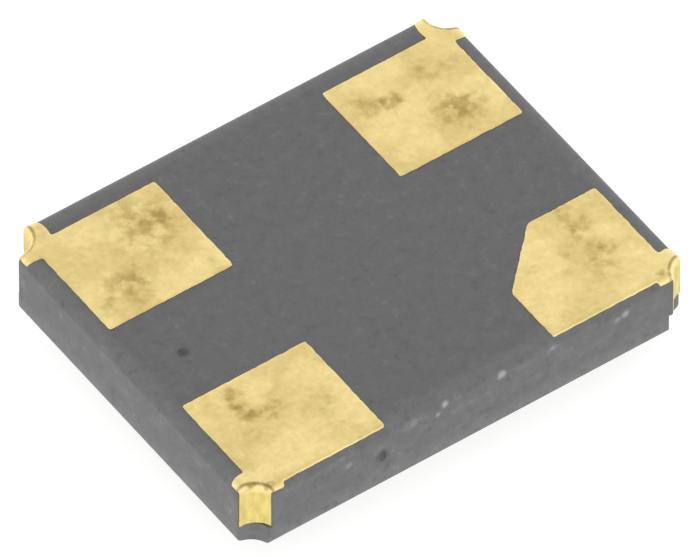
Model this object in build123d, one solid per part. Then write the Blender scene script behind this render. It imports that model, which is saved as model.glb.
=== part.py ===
from build123d import *
import os
from math import atan2, degrees

# Four-terminal quartz crystal in a ceramic package. All lengths are in millimetres.
# The part lies on its lid: z = 0 is the outer face of the lid and the terminals face up.
# X runs along the long side, and the origin is below the centre of the body.

# Ceramic body: a floor sheet that carries the terminals and a wall sheet round the cavity below it.
body_length = 2.5
body_width = 2.0
floor_thickness = 0.255
wall_height = 0.115
wall_width = 0.33
cavity_corner_radius = 0.12
face_rim_radius = 0.045
seal_rim_radius = 0.03

# Notches: quarters of the holes punched where four bodies met in the sheet. The sheet was snapped
# a little off its pattern, so the holes of each sheet sit off the corners of the body.
notch_radius = 0.12
notch_mouth_radius = 0.02
notch_offset_x = 0.012
notch_offset_y = -0.027
wall_notch_radius = 0.122
wall_notch_offset_x = -0.007
wall_notch_offset_y = -0.021

# Terminals: printed and plated, each with a collar round its notch and a lining down the floor sheet.
# The print is off the centre of the body, and the plating ends just inside the body's outline.
terminal_length = 0.7
terminal_width = 0.64
terminal_inset_x = 0.078
terminal_inset_y = 0.074
print_offset_x = 0.003
print_offset_y = -0.053
terminal_thickness = 0.008
terminal_corner_radius = 0.012
collar_radius = 0.14
collar_shift = 0.053
collar_blend_radius = 0.03
plating_setback = 0.004
marked_corner = 0.31

# Printed pads and traces at the level of the cavity floor, pressed into the floor sheet.
bond_pad_length = 0.26
bond_pad_side_gap = 0.2
bond_pad_middle_gap = 0.22
bond_pad_end_gap = 0.11
print_rise = 0.015
print_sink = 0.01
trace_width = 0.1
trace_wall_gap = 0.05
trace_turn_gap = 0.15
via_diameter = 0.08
via_inset = 0.22

# Seal: a metal print on the wall, a brazed ring and a seam-welded lid.
seal_print_inset = 0.08
seal_print_setback = 0.01
seal_print_thickness = 0.01
seal_print_corner_radius = 0.25
seal_print_bore_radius = 0.13
ring_inset = 0.12
ring_setback = 0.03
ring_thickness = 0.08
ring_corner_radius = 0.22
ring_bore_radius = 0.15
braze_thickness = 0.01
braze_fillet_height = 0.03
braze_edge_gap = 0.005
braze_lip = 0.006
lid_inset = 0.02
lid_thickness = 0.07
lid_corner_radius = 0.2
lid_rim_radius = 0.03

# Quartz blank, its two metal films and the adhesive dots that hold one end of it.
blank_thickness = 0.064
blank_fixed_gap = 0.12
blank_free_gap = 0.22
blank_side_gap = 0.17
film_thickness = 0.003
film_free_margin = 0.24
film_side_margin = 0.13
film_landing_length = 0.24
film_landing_setback = 0.01
film_landing_gap = 0.16
film_tab_width = 0.16
film_corner_radius = 0.04
adhesive_thickness = 0.025
adhesive_radius = 0.1
adhesive_bulge = 0.012

# Cuts run past the faces that they open by this much.
overrun = 0.05
# Two points closer than this are taken as one.
match_gap = 0.0005

# Levels, from the lid up.
ring_level = lid_thickness
braze_level = ring_level + ring_thickness
seal_print_level = braze_level + braze_thickness
wall_level = seal_print_level + seal_print_thickness
floor_level = wall_level + wall_height
face_level = floor_level + floor_thickness
blank_top = floor_level - print_rise - adhesive_thickness
blank_bottom = blank_top - blank_thickness

# Sizes that follow from the above.
cavity_length = body_length - 2 * wall_width
cavity_width = body_width - 2 * wall_width
bond_pad_width = (cavity_width - bond_pad_middle_gap) / 2 - bond_pad_side_gap
bond_pad_pitch = bond_pad_width + bond_pad_middle_gap
bond_pad_x = cavity_length / 2 - bond_pad_end_gap - bond_pad_length / 2
blank_fixed_x = cavity_length / 2 - blank_fixed_gap
blank_free_x = blank_free_gap - cavity_length / 2
blank_width = cavity_width - 2 * blank_side_gap
film_landing_width = bond_pad_width - 2 * film_landing_setback

# Each terminal's corner, as shares of half the length and half the width.
corner_shares = {1: (1, -1), 2: (-1, -1), 3: (-1, 1), 4: (1, 1)}
marked_terminal = 1
terminals = sorted(corner_shares)


def notch_center(number, offset_x, offset_y):
    """The centre of the hole at one terminal's corner, for a sheet with this offset."""
    share_x, share_y = corner_shares[number]
    return Vector(share_x * body_length / 2 + offset_x, share_y * body_width / 2 + offset_y)


def floor_notch_center(number):
    return notch_center(number, notch_offset_x, notch_offset_y)


def wall_notch_center(number):
    return notch_center(number, wall_notch_offset_x, wall_notch_offset_y)


def span(outline, low, high):
    """A flat outline carried from one level up to another."""
    return extrude(Pos(Z=low) * outline, high - low)


def frame_outline(inset, corner_radius):
    """A rounded rectangle that lies inside the body's outline by the inset."""
    return RectangleRounded(body_length - 2 * inset, body_width - 2 * inset, corner_radius)


def bore_outline(setback, corner_radius):
    """A rounded rectangle that stands back from the cavity's walls by the setback."""
    return RectangleRounded(cavity_length + 2 * setback, cavity_width + 2 * setback, corner_radius)


def bar(start, end, thickness):
    """A strip with round ends between two points."""
    return SlotCenterPoint((start + end) / 2, end, thickness)


def patch(start_x, end_x, center_y, width):
    """A rectangle between two places along X."""
    return Pos((start_x + end_x) / 2, center_y) * Rectangle(abs(end_x - start_x), width)


def sheet_block(skin):
    """The body before its notches and its cavity, grown by a skin over the face and the sides."""
    outline = Rectangle(body_length + 2 * skin, body_width + 2 * skin)
    block = span(outline, wall_level, face_level + skin)
    block = fillet(block.edges().group_by(Axis.Z)[-1], face_rim_radius + skin)
    return fillet(block.edges().group_by(Axis.Z)[0], seal_rim_radius)


def floor_hole(number, skin):
    """The punched hole through the floor sheet, with its rounded mouth, narrowed by a skin."""
    wall = notch_radius - skin
    mouth = notch_radius + notch_mouth_radius
    mouth_level = face_level - notch_mouth_radius
    top = face_level + skin
    ceiling = top + overrun
    bend = RadiusArc((wall, mouth_level), (mouth, top), notch_mouth_radius + skin)
    sides = Polyline((mouth, top), (mouth, ceiling), (0, ceiling), (0, floor_level), (wall, floor_level),
                     (wall, mouth_level))
    hole = revolve(Plane.XZ * make_face(bend + sides), Axis.Z)
    return Pos(floor_notch_center(number)) * hole


def wall_hole(number):
    """The punched hole through the wall sheet."""
    hole = span(Circle(wall_notch_radius), wall_level - overrun, floor_level)
    return Pos(wall_notch_center(number)) * hole


def snapped_block():
    """The two sheets as one block, with a notch at each corner."""
    block = sheet_block(0)
    for number in terminals:
        block -= floor_hole(number, 0)
        block -= wall_hole(number)
    return block


def terminal_outline(number):
    """One terminal seen from above: the pad, and the collar inward of its notch that blends into it."""
    share_x, share_y = corner_shares[number]
    pad_x = share_x * (body_length / 2 - terminal_inset_x - terminal_length / 2) + print_offset_x
    pad_y = share_y * (body_width / 2 - terminal_inset_y - terminal_width / 2) + print_offset_y
    pad = Pos(pad_x, pad_y) * Rectangle(terminal_length, terminal_width)
    if number == marked_terminal:
        pad = chamfer(pad.vertices().sort_by_distance((0, 0))[0], marked_corner)
    pad = fillet(pad.vertices(), terminal_corner_radius)
    center = floor_notch_center(number) - Vector(share_x * collar_shift, share_y * collar_shift)
    inward = degrees(atan2(pad_y - center.Y, pad_x - center.X))
    outline = pad + Pos(center) * Rot(Z=inward) * Circle(collar_radius)
    offsets = {v: (Vector(v) - center).length - collar_radius for v in outline.vertices()}
    junctions = [v for v, offset in offsets.items() if abs(offset) < match_gap]
    return fillet(junctions, collar_blend_radius)


def terminal(number, block):
    """Plating that lies on the face, bends over the rounded rim and runs down the notch."""
    skin = sheet_block(terminal_thickness) - floor_hole(number, terminal_thickness)
    limit = Rectangle(body_length - 2 * plating_setback, body_width - 2 * plating_setback)
    ceiling = face_level + terminal_thickness + overrun
    reach = span(terminal_outline(number), floor_level, ceiling) & span(limit, floor_level, ceiling)
    return (skin & reach) - block


def bond_print(number, way_points):
    """A bond pad on the cavity floor and the trace that leads from it to a notch lining."""
    share_y = corner_shares[number][1]
    pad_center = Vector(bond_pad_x, share_y * bond_pad_pitch / 2)
    outline = Pos(pad_center) * Rectangle(bond_pad_length, bond_pad_width)
    route = [pad_center] + way_points + [floor_notch_center(number)]
    for start, end in zip(route, route[1:]):
        outline += bar(start, end, trace_width)
    outline -= Pos(floor_notch_center(number)) * Circle(notch_radius)
    sunk = span(outline, floor_level, floor_level + print_sink)
    proud = span(outline & bore_outline(0, cavity_corner_radius), floor_level - print_rise, floor_level)
    return sunk + proud


def long_route():
    """The points that the trace to terminal 3 turns at, along the far side of the cavity."""
    side_y = cavity_width / 2 - trace_wall_gap - trace_width / 2
    turn_x = trace_turn_gap - cavity_length / 2
    return [Vector(bond_pad_x, side_y), Vector(turn_x, side_y)]


def ground_link(number):
    """A filled hole down through the wall, and the trace from it to a notch lining."""
    share_x, share_y = corner_shares[number]
    via_center = Vector(share_x * (body_length / 2 - via_inset), share_y * (body_width / 2 - via_inset))
    outline = bar(via_center, floor_notch_center(number), trace_width)
    outline -= Pos(floor_notch_center(number)) * Circle(notch_radius)
    via = Pos(via_center) * span(Circle(via_diameter / 2), wall_level, floor_level)
    return span(outline, floor_level, floor_level + print_sink) + via


def ceramic_body(block, prints):
    """The fired body: the snapped block with its cavity, and room for the prints and filled holes."""
    body = block - span(bore_outline(0, cavity_corner_radius), wall_level - overrun, floor_level)
    for print_solid in prints:
        body -= print_solid
    return body


def seal_frame():
    outline = frame_outline(seal_print_inset, seal_print_corner_radius)
    outline -= bore_outline(seal_print_setback, seal_print_bore_radius)
    return span(outline, seal_print_level, wall_level)


def ring_block():
    return span(frame_outline(ring_inset, ring_corner_radius), ring_level, braze_level)


def ring_bore():
    return span(bore_outline(ring_setback, ring_bore_radius), ring_level - overrun, wall_level + overrun)


def braze_frame():
    """The braze layer, with a fillet that climbs the outer side of the ring."""
    foot = frame_outline(seal_print_inset + braze_edge_gap, seal_print_corner_radius - braze_edge_gap)
    crest = frame_outline(ring_inset - braze_lip, ring_corner_radius + braze_lip)
    crest_level = braze_level - braze_fillet_height
    bead = loft([Pos(Z=crest_level) * crest, Pos(Z=seal_print_level) * foot])
    return bead - ring_block() - ring_bore()


def lid():
    """The flat lid, its outer rim rounded by the seam welding."""
    plate = span(frame_outline(ring_inset + lid_inset, lid_corner_radius), 0, lid_thickness)
    return fillet(plate.edges().group_by(Axis.Z)[0], lid_rim_radius)


def quartz_blank():
    return span(patch(blank_free_x, blank_fixed_x, 0, blank_width), blank_bottom, blank_top)


def film_landing(share_y):
    """The end of a film that the adhesive grips, at the fixed end of the blank."""
    start_x = blank_fixed_x - film_landing_length
    return patch(start_x, blank_fixed_x, share_y * bond_pad_pitch / 2, film_landing_width)


def film_outline(share_y):
    """The electrode in the middle of the blank, its tab and its landing."""
    start_x = blank_free_x + film_free_margin
    end_x = blank_fixed_x - film_landing_length - film_landing_gap
    electrode = patch(start_x, end_x, 0, blank_width - 2 * film_side_margin)
    electrode = fillet(electrode.vertices(), film_corner_radius)
    tab_end_x = blank_fixed_x - film_landing_length / 2
    tab = patch(end_x - film_corner_radius, tab_end_x, share_y * bond_pad_pitch / 2, film_tab_width)
    return electrode + tab + film_landing(share_y)


def electrode_upper():
    return span(film_outline(corner_shares[1][1]), blank_top, blank_top + film_thickness)


def electrode_lower():
    """The film on the lid side, which wraps round the end of the blank to the other side."""
    share_y = corner_shares[3][1]
    low = blank_bottom - film_thickness
    high = blank_top + film_thickness
    center_y = share_y * bond_pad_pitch / 2
    wrap = patch(blank_fixed_x, blank_fixed_x + film_thickness, center_y, film_landing_width)
    film = span(film_outline(share_y), low, blank_bottom)
    film += span(wrap, low, high)
    return film + span(film_landing(share_y), blank_top, high)


def adhesive_dot(number, film):
    """A squeezed dot of conductive adhesive between a bond pad and the film on the blank."""
    low = blank_top
    high = floor_level - print_rise
    rim = adhesive_radius + adhesive_bulge
    side = ThreePointArc((adhesive_radius, low), (rim, (low + high) / 2), (adhesive_radius, high))
    ends = Polyline((adhesive_radius, high), (0, high), (0, low), (adhesive_radius, low))
    dot = revolve(Plane.XZ * make_face(side + ends), Axis.Z)
    return Pos(bond_pad_x, corner_shares[number][1] * bond_pad_pitch / 2) * dot - film


def build_pieces():
    """Every piece of the crystal by name."""
    block = snapped_block()
    pieces = {f"terminal_{number}": terminal(number, block) for number in terminals}
    pieces["bond_pad_1"] = bond_print(1, [])
    pieces["bond_pad_3"] = bond_print(3, long_route())
    pieces["ground_link_2"] = ground_link(2)
    pieces["ground_link_4"] = ground_link(4)
    prints = [pieces[name] for name in ("bond_pad_1", "bond_pad_3", "ground_link_2", "ground_link_4")]
    pieces["ceramic_body"] = ceramic_body(block, prints)
    pieces["seal_frame"] = seal_frame()
    pieces["braze_frame"] = braze_frame()
    pieces["seal_ring"] = ring_block() - ring_bore()
    pieces["lid"] = lid()
    pieces["quartz_blank"] = quartz_blank()
    pieces["electrode_upper"] = electrode_upper()
    pieces["electrode_lower"] = electrode_lower()
    pieces["adhesive_1"] = adhesive_dot(1, pieces["electrode_upper"])
    pieces["adhesive_3"] = adhesive_dot(3, pieces["electrode_lower"])
    return pieces


os.makedirs("parts", exist_ok=True)
for name, piece in build_pieces().items():
    export_step(piece, f"parts/{name}.step")
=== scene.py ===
import logging
import math
from collections.abc import Callable, Iterator
from contextlib import contextmanager
from dataclasses import asdict, dataclass, field
from enum import Enum

import bmesh
import bpy
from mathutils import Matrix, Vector


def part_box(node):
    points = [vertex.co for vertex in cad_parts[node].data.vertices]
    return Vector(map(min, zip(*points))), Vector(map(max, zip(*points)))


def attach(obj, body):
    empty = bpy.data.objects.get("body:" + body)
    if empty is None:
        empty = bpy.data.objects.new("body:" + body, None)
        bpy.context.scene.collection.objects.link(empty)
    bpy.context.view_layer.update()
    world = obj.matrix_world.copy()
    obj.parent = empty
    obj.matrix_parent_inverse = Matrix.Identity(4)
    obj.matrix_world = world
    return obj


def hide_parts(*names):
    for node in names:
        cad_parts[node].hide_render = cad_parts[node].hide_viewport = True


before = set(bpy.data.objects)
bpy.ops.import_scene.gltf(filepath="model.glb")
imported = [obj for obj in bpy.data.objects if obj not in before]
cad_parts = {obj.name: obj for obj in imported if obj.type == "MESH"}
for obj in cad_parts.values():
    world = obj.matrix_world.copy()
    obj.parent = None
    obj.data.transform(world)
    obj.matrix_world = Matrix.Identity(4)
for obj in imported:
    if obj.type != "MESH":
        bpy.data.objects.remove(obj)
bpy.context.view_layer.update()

# The crystal lies on its lid, terminal face up, in the frame's own axes.
# Pieces are modelled in millimetres and brought to metres when they are finished.
MM = 0.001
BODY = "root"
QUARTER_TURN = math.pi / 2
WHITE = (1.0, 1.0, 1.0, 1.0)
# Points closer together than this are one point.
MERGE_GAP = 1e-5
# How far a cutting solid runs past what it cuts.
OVERRUN = 0.05
# A face is level when its normal has at least this share along Z.
LEVEL_SHARE = 0.99
# How much more a large flat counts than a small one where their shading meets.
FLAT_WEIGHT = 100
# The holes punched in the floor sheet sit this far off the corners of the body, along X and Y.
HOLE_OFFSET = (0.012, -0.027)

Colour = tuple[float, float, float, float]
Pair = tuple[float, float]
Triple = tuple[float, float, float]
Piece = bpy.types.Object
Socket = bpy.types.NodeSocket
Source = Socket | float | Triple | Colour
Tree = bpy.types.NodeTree
Test = Callable[[Vector, Vector], bool]

log = logging.getLogger("crystal")


class Corner(Enum):
    """The corners of the body: the terminal's number, and the sides along X and Y as signs."""

    MARKED = (1, 1, -1)
    NEAR = (2, -1, -1)
    LEFT = (3, -1, 1)
    FAR = (4, 1, 1)

    def __init__(self, number: int, side_x: int, side_y: int) -> None:
        """Keep the terminal's number, and the sides as a vector."""
        self.number = number
        self.sides = Vector((side_x, side_y))


class Cut(Enum):
    """What a tool solid does to the piece that it meets."""

    TAKE_AWAY = "DIFFERENCE"
    KEEP_COMMON = "INTERSECT"


class Part(Enum):
    """What is picked in edit mode: the select mode for points, edges and faces."""

    EDGES = (False, True, False)
    FACES = (False, False, True)


class Blend(Enum):
    """What a Mix node blends: its data type, its two inputs and its output."""

    NUMBERS = ("FLOAT", 2, 3, 0)
    COLOURS = ("RGBA", 6, 7, 2)


class Effect(Enum):
    """Surface effects that several materials share."""

    GRAIN = "fine_grain"
    BLOTCH = "soft_blotch"
    BRUSHING = "brushed_lines"


@dataclass(frozen=True)
class Noise:
    """A noise over a surface: patches in a millimetre, finer layers, and their strength."""

    scale: Source
    detail: float
    roughness: float = 0.5


@dataclass(frozen=True)
class Wander:
    """How a point strays in X and Y: turns in a millimetre, reach in all, and finer turns."""

    scale: float
    reach: float
    detail: float = 3.0


@dataclass(frozen=True)
class Relief:
    """A bump: its strength, and the depth of its full height in millimetres."""

    strength: float
    depth: float


@dataclass(frozen=True)
class Grain:
    """Values of the fine grain: grains in a millimetre, and their contrast."""

    grains: float
    contrast: float


@dataclass(frozen=True)
class Blotch:
    """Values of the soft blotches: patches in a millimetre, and the ramp and grit of their edges."""

    patches: float
    start: float
    end: float
    grit: float


@dataclass(frozen=True)
class Brushing:
    """Value of the brushed lines: lines in a millimetre."""

    lines: float


@dataclass(frozen=True)
class Coat:
    """What varies over a surface: its colour, its roughness and its normal."""

    colour: Socket
    roughness: Socket
    normal: Socket


@dataclass(frozen=True)
class Spot:
    """A round mark on a surface: where it lies, how far it spreads and how strong it is."""

    place: Triple
    radius: float
    strength: float = 1.0


@dataclass(frozen=True)
class Pit:
    """A shallow hollow in a surface: its middle, and its half-sizes along X, Y and Z."""

    place: Triple
    half_sizes: Triple
    spread: float = 1.5

    def shadow(self) -> Spot:
        """Return the soft painted shade in and around the pit."""
        return Spot(self.place, self.spread * max(self.half_sizes))


@dataclass(frozen=True)
class Extent:
    """The box that a node of the frame fills, in millimetres."""

    low: Vector
    high: Vector

    @classmethod
    def of_node(cls, node: str) -> "Extent":
        """Return a node's box, read from the frame."""
        low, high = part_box(node)
        return cls(Vector(low) / MM, Vector(high) / MM)

    def grown(self, margin: float) -> "Extent":
        """Return this box with a margin added on every side."""
        margins = Vector((margin, margin, margin))
        return Extent(self.low - margins, self.high + margins)

    def between(self, bottom: float, top: float) -> "Extent":
        """Return this box with another bottom and top level."""
        return Extent(Vector((*self.low.xy, bottom)), Vector((*self.high.xy, top)))


class Bench:
    """The modelling bench: short calls to Blender's own operators, with lengths in millimetres."""

    @staticmethod
    def clear() -> None:
        """Deselect every object."""
        bpy.ops.object.select_all(action="DESELECT")

    @classmethod
    def take(cls, piece: Piece) -> None:
        """Make one piece the only selected one, and the active one.

        Args:
            piece: The piece to take.
        """
        cls.clear()
        piece.select_set(True)
        bpy.context.view_layer.objects.active = piece

    @classmethod
    @contextmanager
    def editing(cls, piece: Piece) -> Iterator[None]:
        """Hold a piece in edit mode for the length of a with block.

        Args:
            piece: The piece to edit.
        """
        cls.take(piece)
        bpy.ops.object.mode_set(mode="EDIT")
        try:
            yield
        finally:
            bpy.ops.object.mode_set(mode="OBJECT")

    @staticmethod
    def named(name: str) -> Piece:
        """Name the piece that was just added and settle its place into its mesh.

        Args:
            name: The piece's name.

        Returns:
            The piece.
        """
        piece = bpy.context.active_object
        piece.name = name
        piece.data.name = name
        bpy.ops.object.transform_apply(location=True, rotation=True, scale=True)
        return piece

    @classmethod
    def block(cls, name: str, extent: Extent) -> Piece:
        """Add a square block.

        Args:
            name: The block's name.
            extent: The box that it fills.

        Returns:
            The block.
        """
        cls.clear()
        bpy.ops.mesh.primitive_cube_add(size=1.0, location=(extent.low + extent.high) / 2)
        bpy.context.active_object.scale = extent.high - extent.low
        return cls.named(name)

    @classmethod
    def plate(cls, name: str, extent: Extent, corner: float, segments: int) -> Piece:
        """Add a block with rounded upright edges.

        Args:
            name: The plate's name.
            extent: The box that it fills.
            corner: The radius of its corners.
            segments: The number of steps round each corner.

        Returns:
            The plate.
        """
        piece = cls.block(name, extent)
        cls.round_edges(piece, cls.upright, corner, segments)
        return piece

    @classmethod
    def rod(cls, name: str, center: Vector, radius: float, levels: Pair, sides: int) -> Piece:
        """Add an upright round rod.

        Args:
            name: The rod's name.
            center: Its axis, as a point in X and Y.
            radius: Its radius.
            levels: The levels of its lower and upper ends.
            sides: The number of flats round it.

        Returns:
            The rod.
        """
        cls.clear()
        bottom, top = levels
        bpy.ops.mesh.primitive_cylinder_add(vertices=sides, radius=radius, depth=top - bottom,
                                            location=(center.x, center.y, (bottom + top) / 2))
        return cls.named(name)

    @classmethod
    def node_copy(cls, node: str, spread: float) -> Piece:
        """Copy a node of the frame as a closed solid in millimetres.

        Args:
            node: The node's name.
            spread: How much further than the node it reaches from the body's middle, as a ratio.

        Returns:
            The copy, with its triangles merged.
        """
        piece = cls.twin(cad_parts[node], f"{node}_room")
        piece.parent = None
        piece.scale = Vector((spread, spread, 1)) / MM
        bpy.ops.object.transform_apply(location=True, rotation=True, scale=True)
        cls.merge(piece, MERGE_GAP)
        return piece

    @staticmethod
    def upright(first: Vector, second: Vector) -> bool:
        """Say, from an edge's two ends, whether it stands upright."""
        return abs(first.z - second.z) > MERGE_GAP

    @staticmethod
    def pick(piece: Piece, part: Part, test: Test) -> None:
        """Select, in edit mode, the edges or the faces that pass a test.

        Args:
            piece: The piece in edit mode.
            part: Whether edges or faces are picked.
            test: Takes an edge's two ends, or a face's middle and normal.
        """
        bpy.context.tool_settings.mesh_select_mode = part.value
        bpy.ops.mesh.select_all(action="DESELECT")
        mesh = bmesh.from_edit_mesh(piece.data)
        if part is Part.EDGES:
            picked = [edge for edge in mesh.edges if test(edge.verts[0].co, edge.verts[1].co)]
        else:
            picked = [face for face in mesh.faces if test(face.calc_center_median(), face.normal)]
        for item in picked:
            item.select_set(True)
        bmesh.update_edit_mesh(piece.data)

    @classmethod
    def round_edges(cls, piece: Piece, test: Test, radius: float, segments: int) -> None:
        """Round the edges that pass a test.

        Args:
            piece: The piece to shape.
            test: Says, from an edge's two ends, whether it is rounded.
            radius: The radius of the rounding.
            segments: The number of steps round it.
        """
        with cls.editing(piece):
            cls.pick(piece, Part.EDGES, test)
            bpy.ops.mesh.bevel(offset=radius, offset_type="OFFSET", segments=segments,
                               affect="EDGES")

    @classmethod
    def modify(cls, piece: Piece, kind: str, **settings: object) -> None:
        """Put a modifier on a piece and apply it.

        Args:
            piece: The piece to shape.
            kind: The modifier's type.
            settings: The modifier's values by name.
        """
        cls.take(piece)
        modifier = piece.modifiers.new(kind.lower(), kind)
        for name, value in settings.items():
            setattr(modifier, name, value)
        bpy.ops.object.modifier_apply(modifier=modifier.name)

    @classmethod
    def combine(cls, piece: Piece, tool: Piece, cut: Cut) -> None:
        """Bring a tool solid to a piece, then put the tool away."""
        cls.modify(piece, "BOOLEAN", operation=cut.value, object=tool, solver="EXACT")
        cls.discard(tool)

    @staticmethod
    def discard(tool: Piece) -> None:
        """Delete a tool solid and its mesh.

        Args:
            tool: The solid to delete.
        """
        mesh = tool.data
        bpy.data.objects.remove(tool)
        bpy.data.meshes.remove(mesh)

    @classmethod
    def twin(cls, piece: Piece, name: str) -> Piece:
        """Copy a piece, with a mesh of its own.

        Args:
            piece: The piece to copy.
            name: The copy's name.

        Returns:
            The copy, selected and active.
        """
        cls.take(piece)
        bpy.ops.object.duplicate()
        copy = bpy.context.active_object
        copy.name = name
        copy.data.name = name
        return copy

    @classmethod
    def join(cls, pieces: list[Piece]) -> Piece:
        """Join pieces into the first of them.

        Args:
            pieces: The pieces to join.

        Returns:
            The first piece, with all their meshes.
        """
        cls.take(pieces[0])
        for piece in pieces[1:]:
            piece.select_set(True)
        bpy.ops.object.join()
        return pieces[0]

    @classmethod
    def merge(cls, piece: Piece, gap: float) -> None:
        """Merge the points of a piece that lie closer together than a gap.

        Args:
            piece: The piece to mend.
            gap: The gap.
        """
        with cls.editing(piece):
            bpy.ops.mesh.select_all(action="SELECT")
            bpy.ops.mesh.remove_doubles(threshold=gap)

    @classmethod
    def clean(cls, piece: Piece, sliver: float) -> None:
        """Take out the slivers that cuts leave.

        Args:
            piece: The piece to mend.
            sliver: The width up to which they go.
        """
        with cls.editing(piece):
            bpy.ops.mesh.select_all(action="SELECT")
            bpy.ops.mesh.dissolve_degenerate(threshold=sliver)
        cls.merge(piece, sliver)

    @classmethod
    def to_metres(cls, piece: Piece, smooth_angle: float) -> None:
        """Shade a piece smooth up to an angle, with its flats kept flat, and bring it to metres.

        Args:
            piece: The piece to finish.
            smooth_angle: The angle up to which edges are smooth.
        """
        cls.take(piece)
        bpy.ops.object.shade_smooth_by_angle(angle=smooth_angle)
        cls.modify(piece, "WEIGHTED_NORMAL", mode="FACE_AREA", weight=FLAT_WEIGHT,
                   keep_sharp=True)
        piece.scale = (MM, MM, MM)
        bpy.ops.object.transform_apply(location=True, rotation=True, scale=True)


class NodeBoard:
    """A shader node tree with short calls that add nodes and wire them."""

    def __init__(self, tree: Tree) -> None:
        """Take a node tree to work on."""
        self.tree = tree

    def add(self, kind: str, **settings: object) -> bpy.types.Node:
        """Add a node.

        Args:
            kind: The node's type.
            settings: The node's own properties by name.

        Returns:
            The node.
        """
        node = self.tree.nodes.new(kind)
        for name, value in settings.items():
            setattr(node, name, value)
        return node

    def feed(self, target: Socket, source: Source) -> None:
        """Wire a socket into an input, or set the input to a plain value.

        Args:
            target: The input.
            source: The socket or the value.
        """
        if isinstance(source, bpy.types.NodeSocket):
            self.tree.links.new(source, target)
        else:
            target.default_value = source

    def math(self, operation: str, first: Source, second: Source = 0.0,
             clamp: bool = False) -> Socket:
        """Add a Math node.

        Args:
            operation: The operation's name.
            first: The first socket or number.
            second: The second socket or number.
            clamp: Whether the result is held between 0 and 1.

        Returns:
            The result.
        """
        node = self.add("ShaderNodeMath", operation=operation, use_clamp=clamp)
        self.feed(node.inputs[0], first)
        self.feed(node.inputs[1], second)
        return node.outputs[0]

    def plus(self, first: Source, second: Source) -> Socket:
        """Return the sum of two values."""
        return self.math("ADD", first, second)

    def minus(self, first: Source, second: Source) -> Socket:
        """Return a first value less a second one."""
        return self.math("SUBTRACT", first, second)

    def times(self, first: Source, second: Source) -> Socket:
        """Return the product of two values."""
        return self.math("MULTIPLY", first, second)

    def size(self, value: Source) -> Socket:
        """Return a value without its sign."""
        return self.math("ABSOLUTE", value)

    def length(self, first: Source, second: Source) -> Socket:
        """Return the length of a line from its two legs."""
        return self.math("SQRT", self.plus(self.times(first, first), self.times(second, second)))

    def vector(self, operation: str, *sources: Source, output: str = "Vector") -> Socket:
        """Add a Vector Math node.

        Args:
            operation: The operation's name.
            sources: The sockets or values of its inputs, in order.
            output: The output's name.

        Returns:
            The result.
        """
        node = self.add("ShaderNodeVectorMath", operation=operation)
        for target, source in zip(node.inputs, sources):
            self.feed(target, source)
        return node.outputs[output]

    def step(self, value: Source, start: Source, end: Source) -> Socket:
        """Add a smooth step.

        Args:
            value: The value that it follows.
            start: The value where it is 0.
            end: The value where it is 1.

        Returns:
            The step.
        """
        node = self.add("ShaderNodeMapRange", interpolation_type="SMOOTHSTEP")
        for name, source in (("Value", value), ("From Min", start), ("From Max", end)):
            self.feed(node.inputs[name], source)
        return node.outputs["Result"]

    def span(self, value: Source, low: float, high: float) -> Socket:
        """Spread a value from 0 to 1 between two others.

        Args:
            value: The value to spread.
            low: What 0 becomes.
            high: What 1 becomes.

        Returns:
            The value between the two.
        """
        node = self.add("ShaderNodeMapRange", clamp=True)
        for name, source in (("Value", value), ("To Min", low), ("To Max", high)):
            self.feed(node.inputs[name], source)
        return node.outputs["Result"]

    def mix(self, factor: Source, first: Source, second: Source,
            blend: Blend = Blend.COLOURS) -> Socket:
        """Blend two colours or numbers.

        Args:
            factor: The share of the second one.
            first: The first one.
            second: The second one.
            blend: Whether they are colours or numbers.

        Returns:
            The blend.
        """
        data_type, first_input, second_input, output = blend.value
        node = self.add("ShaderNodeMix", data_type=data_type)
        self.feed(node.inputs[0], factor)
        self.feed(node.inputs[first_input], first)
        self.feed(node.inputs[second_input], second)
        return node.outputs[output]

    def noise(self, place: Socket, noise: Noise, output: str = "Fac") -> Socket:
        """Add a noise over the surface.

        Args:
            place: The point on the surface.
            noise: The noise's values.
            output: The output's name.

        Returns:
            The noise, about 0.5 on average.
        """
        node = self.add("ShaderNodeTexNoise", noise_dimensions="3D")
        self.feed(node.inputs["Vector"], place)
        for name, value in vars(noise).items():
            self.feed(node.inputs[name.capitalize()], value)
        return node.outputs[output]

    def place(self, stretch: Triple = (1, 1, 1)) -> Socket:
        """Add the point on the piece, in millimetres.

        Args:
            stretch: The stretch along each axis.

        Returns:
            The point.
        """
        source = self.add("ShaderNodeTexCoord")
        mapping = self.add("ShaderNodeMapping")
        self.feed(mapping.inputs["Vector"], source.outputs["Object"])
        mapping.inputs["Scale"].default_value = Vector(stretch) / MM
        return mapping.outputs["Vector"]

    def axes(self, place: Socket) -> tuple[Socket, ...]:
        """Split a point.

        Args:
            place: The point.

        Returns:
            Its X, Y and Z.
        """
        node = self.add("ShaderNodeSeparateXYZ")
        self.feed(node.inputs[0], place)
        return tuple(node.outputs)

    def effect(self, effect: Effect, place: Socket,
               values: Grain | Blotch | Brushing) -> tuple[Socket, ...]:
        """Place a shared effect in this tree.

        Args:
            effect: Which effect.
            place: The point on the surface.
            values: The effect's values, named as its inputs are.

        Returns:
            The effect's outputs, in order.
        """
        node = self.add("ShaderNodeGroup", node_tree=EffectShelf.group(effect))
        self.feed(node.inputs["Place"], place)
        for name, value in asdict(values).items():
            self.feed(node.inputs[name.capitalize()], value)
        return tuple(node.outputs)

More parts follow.
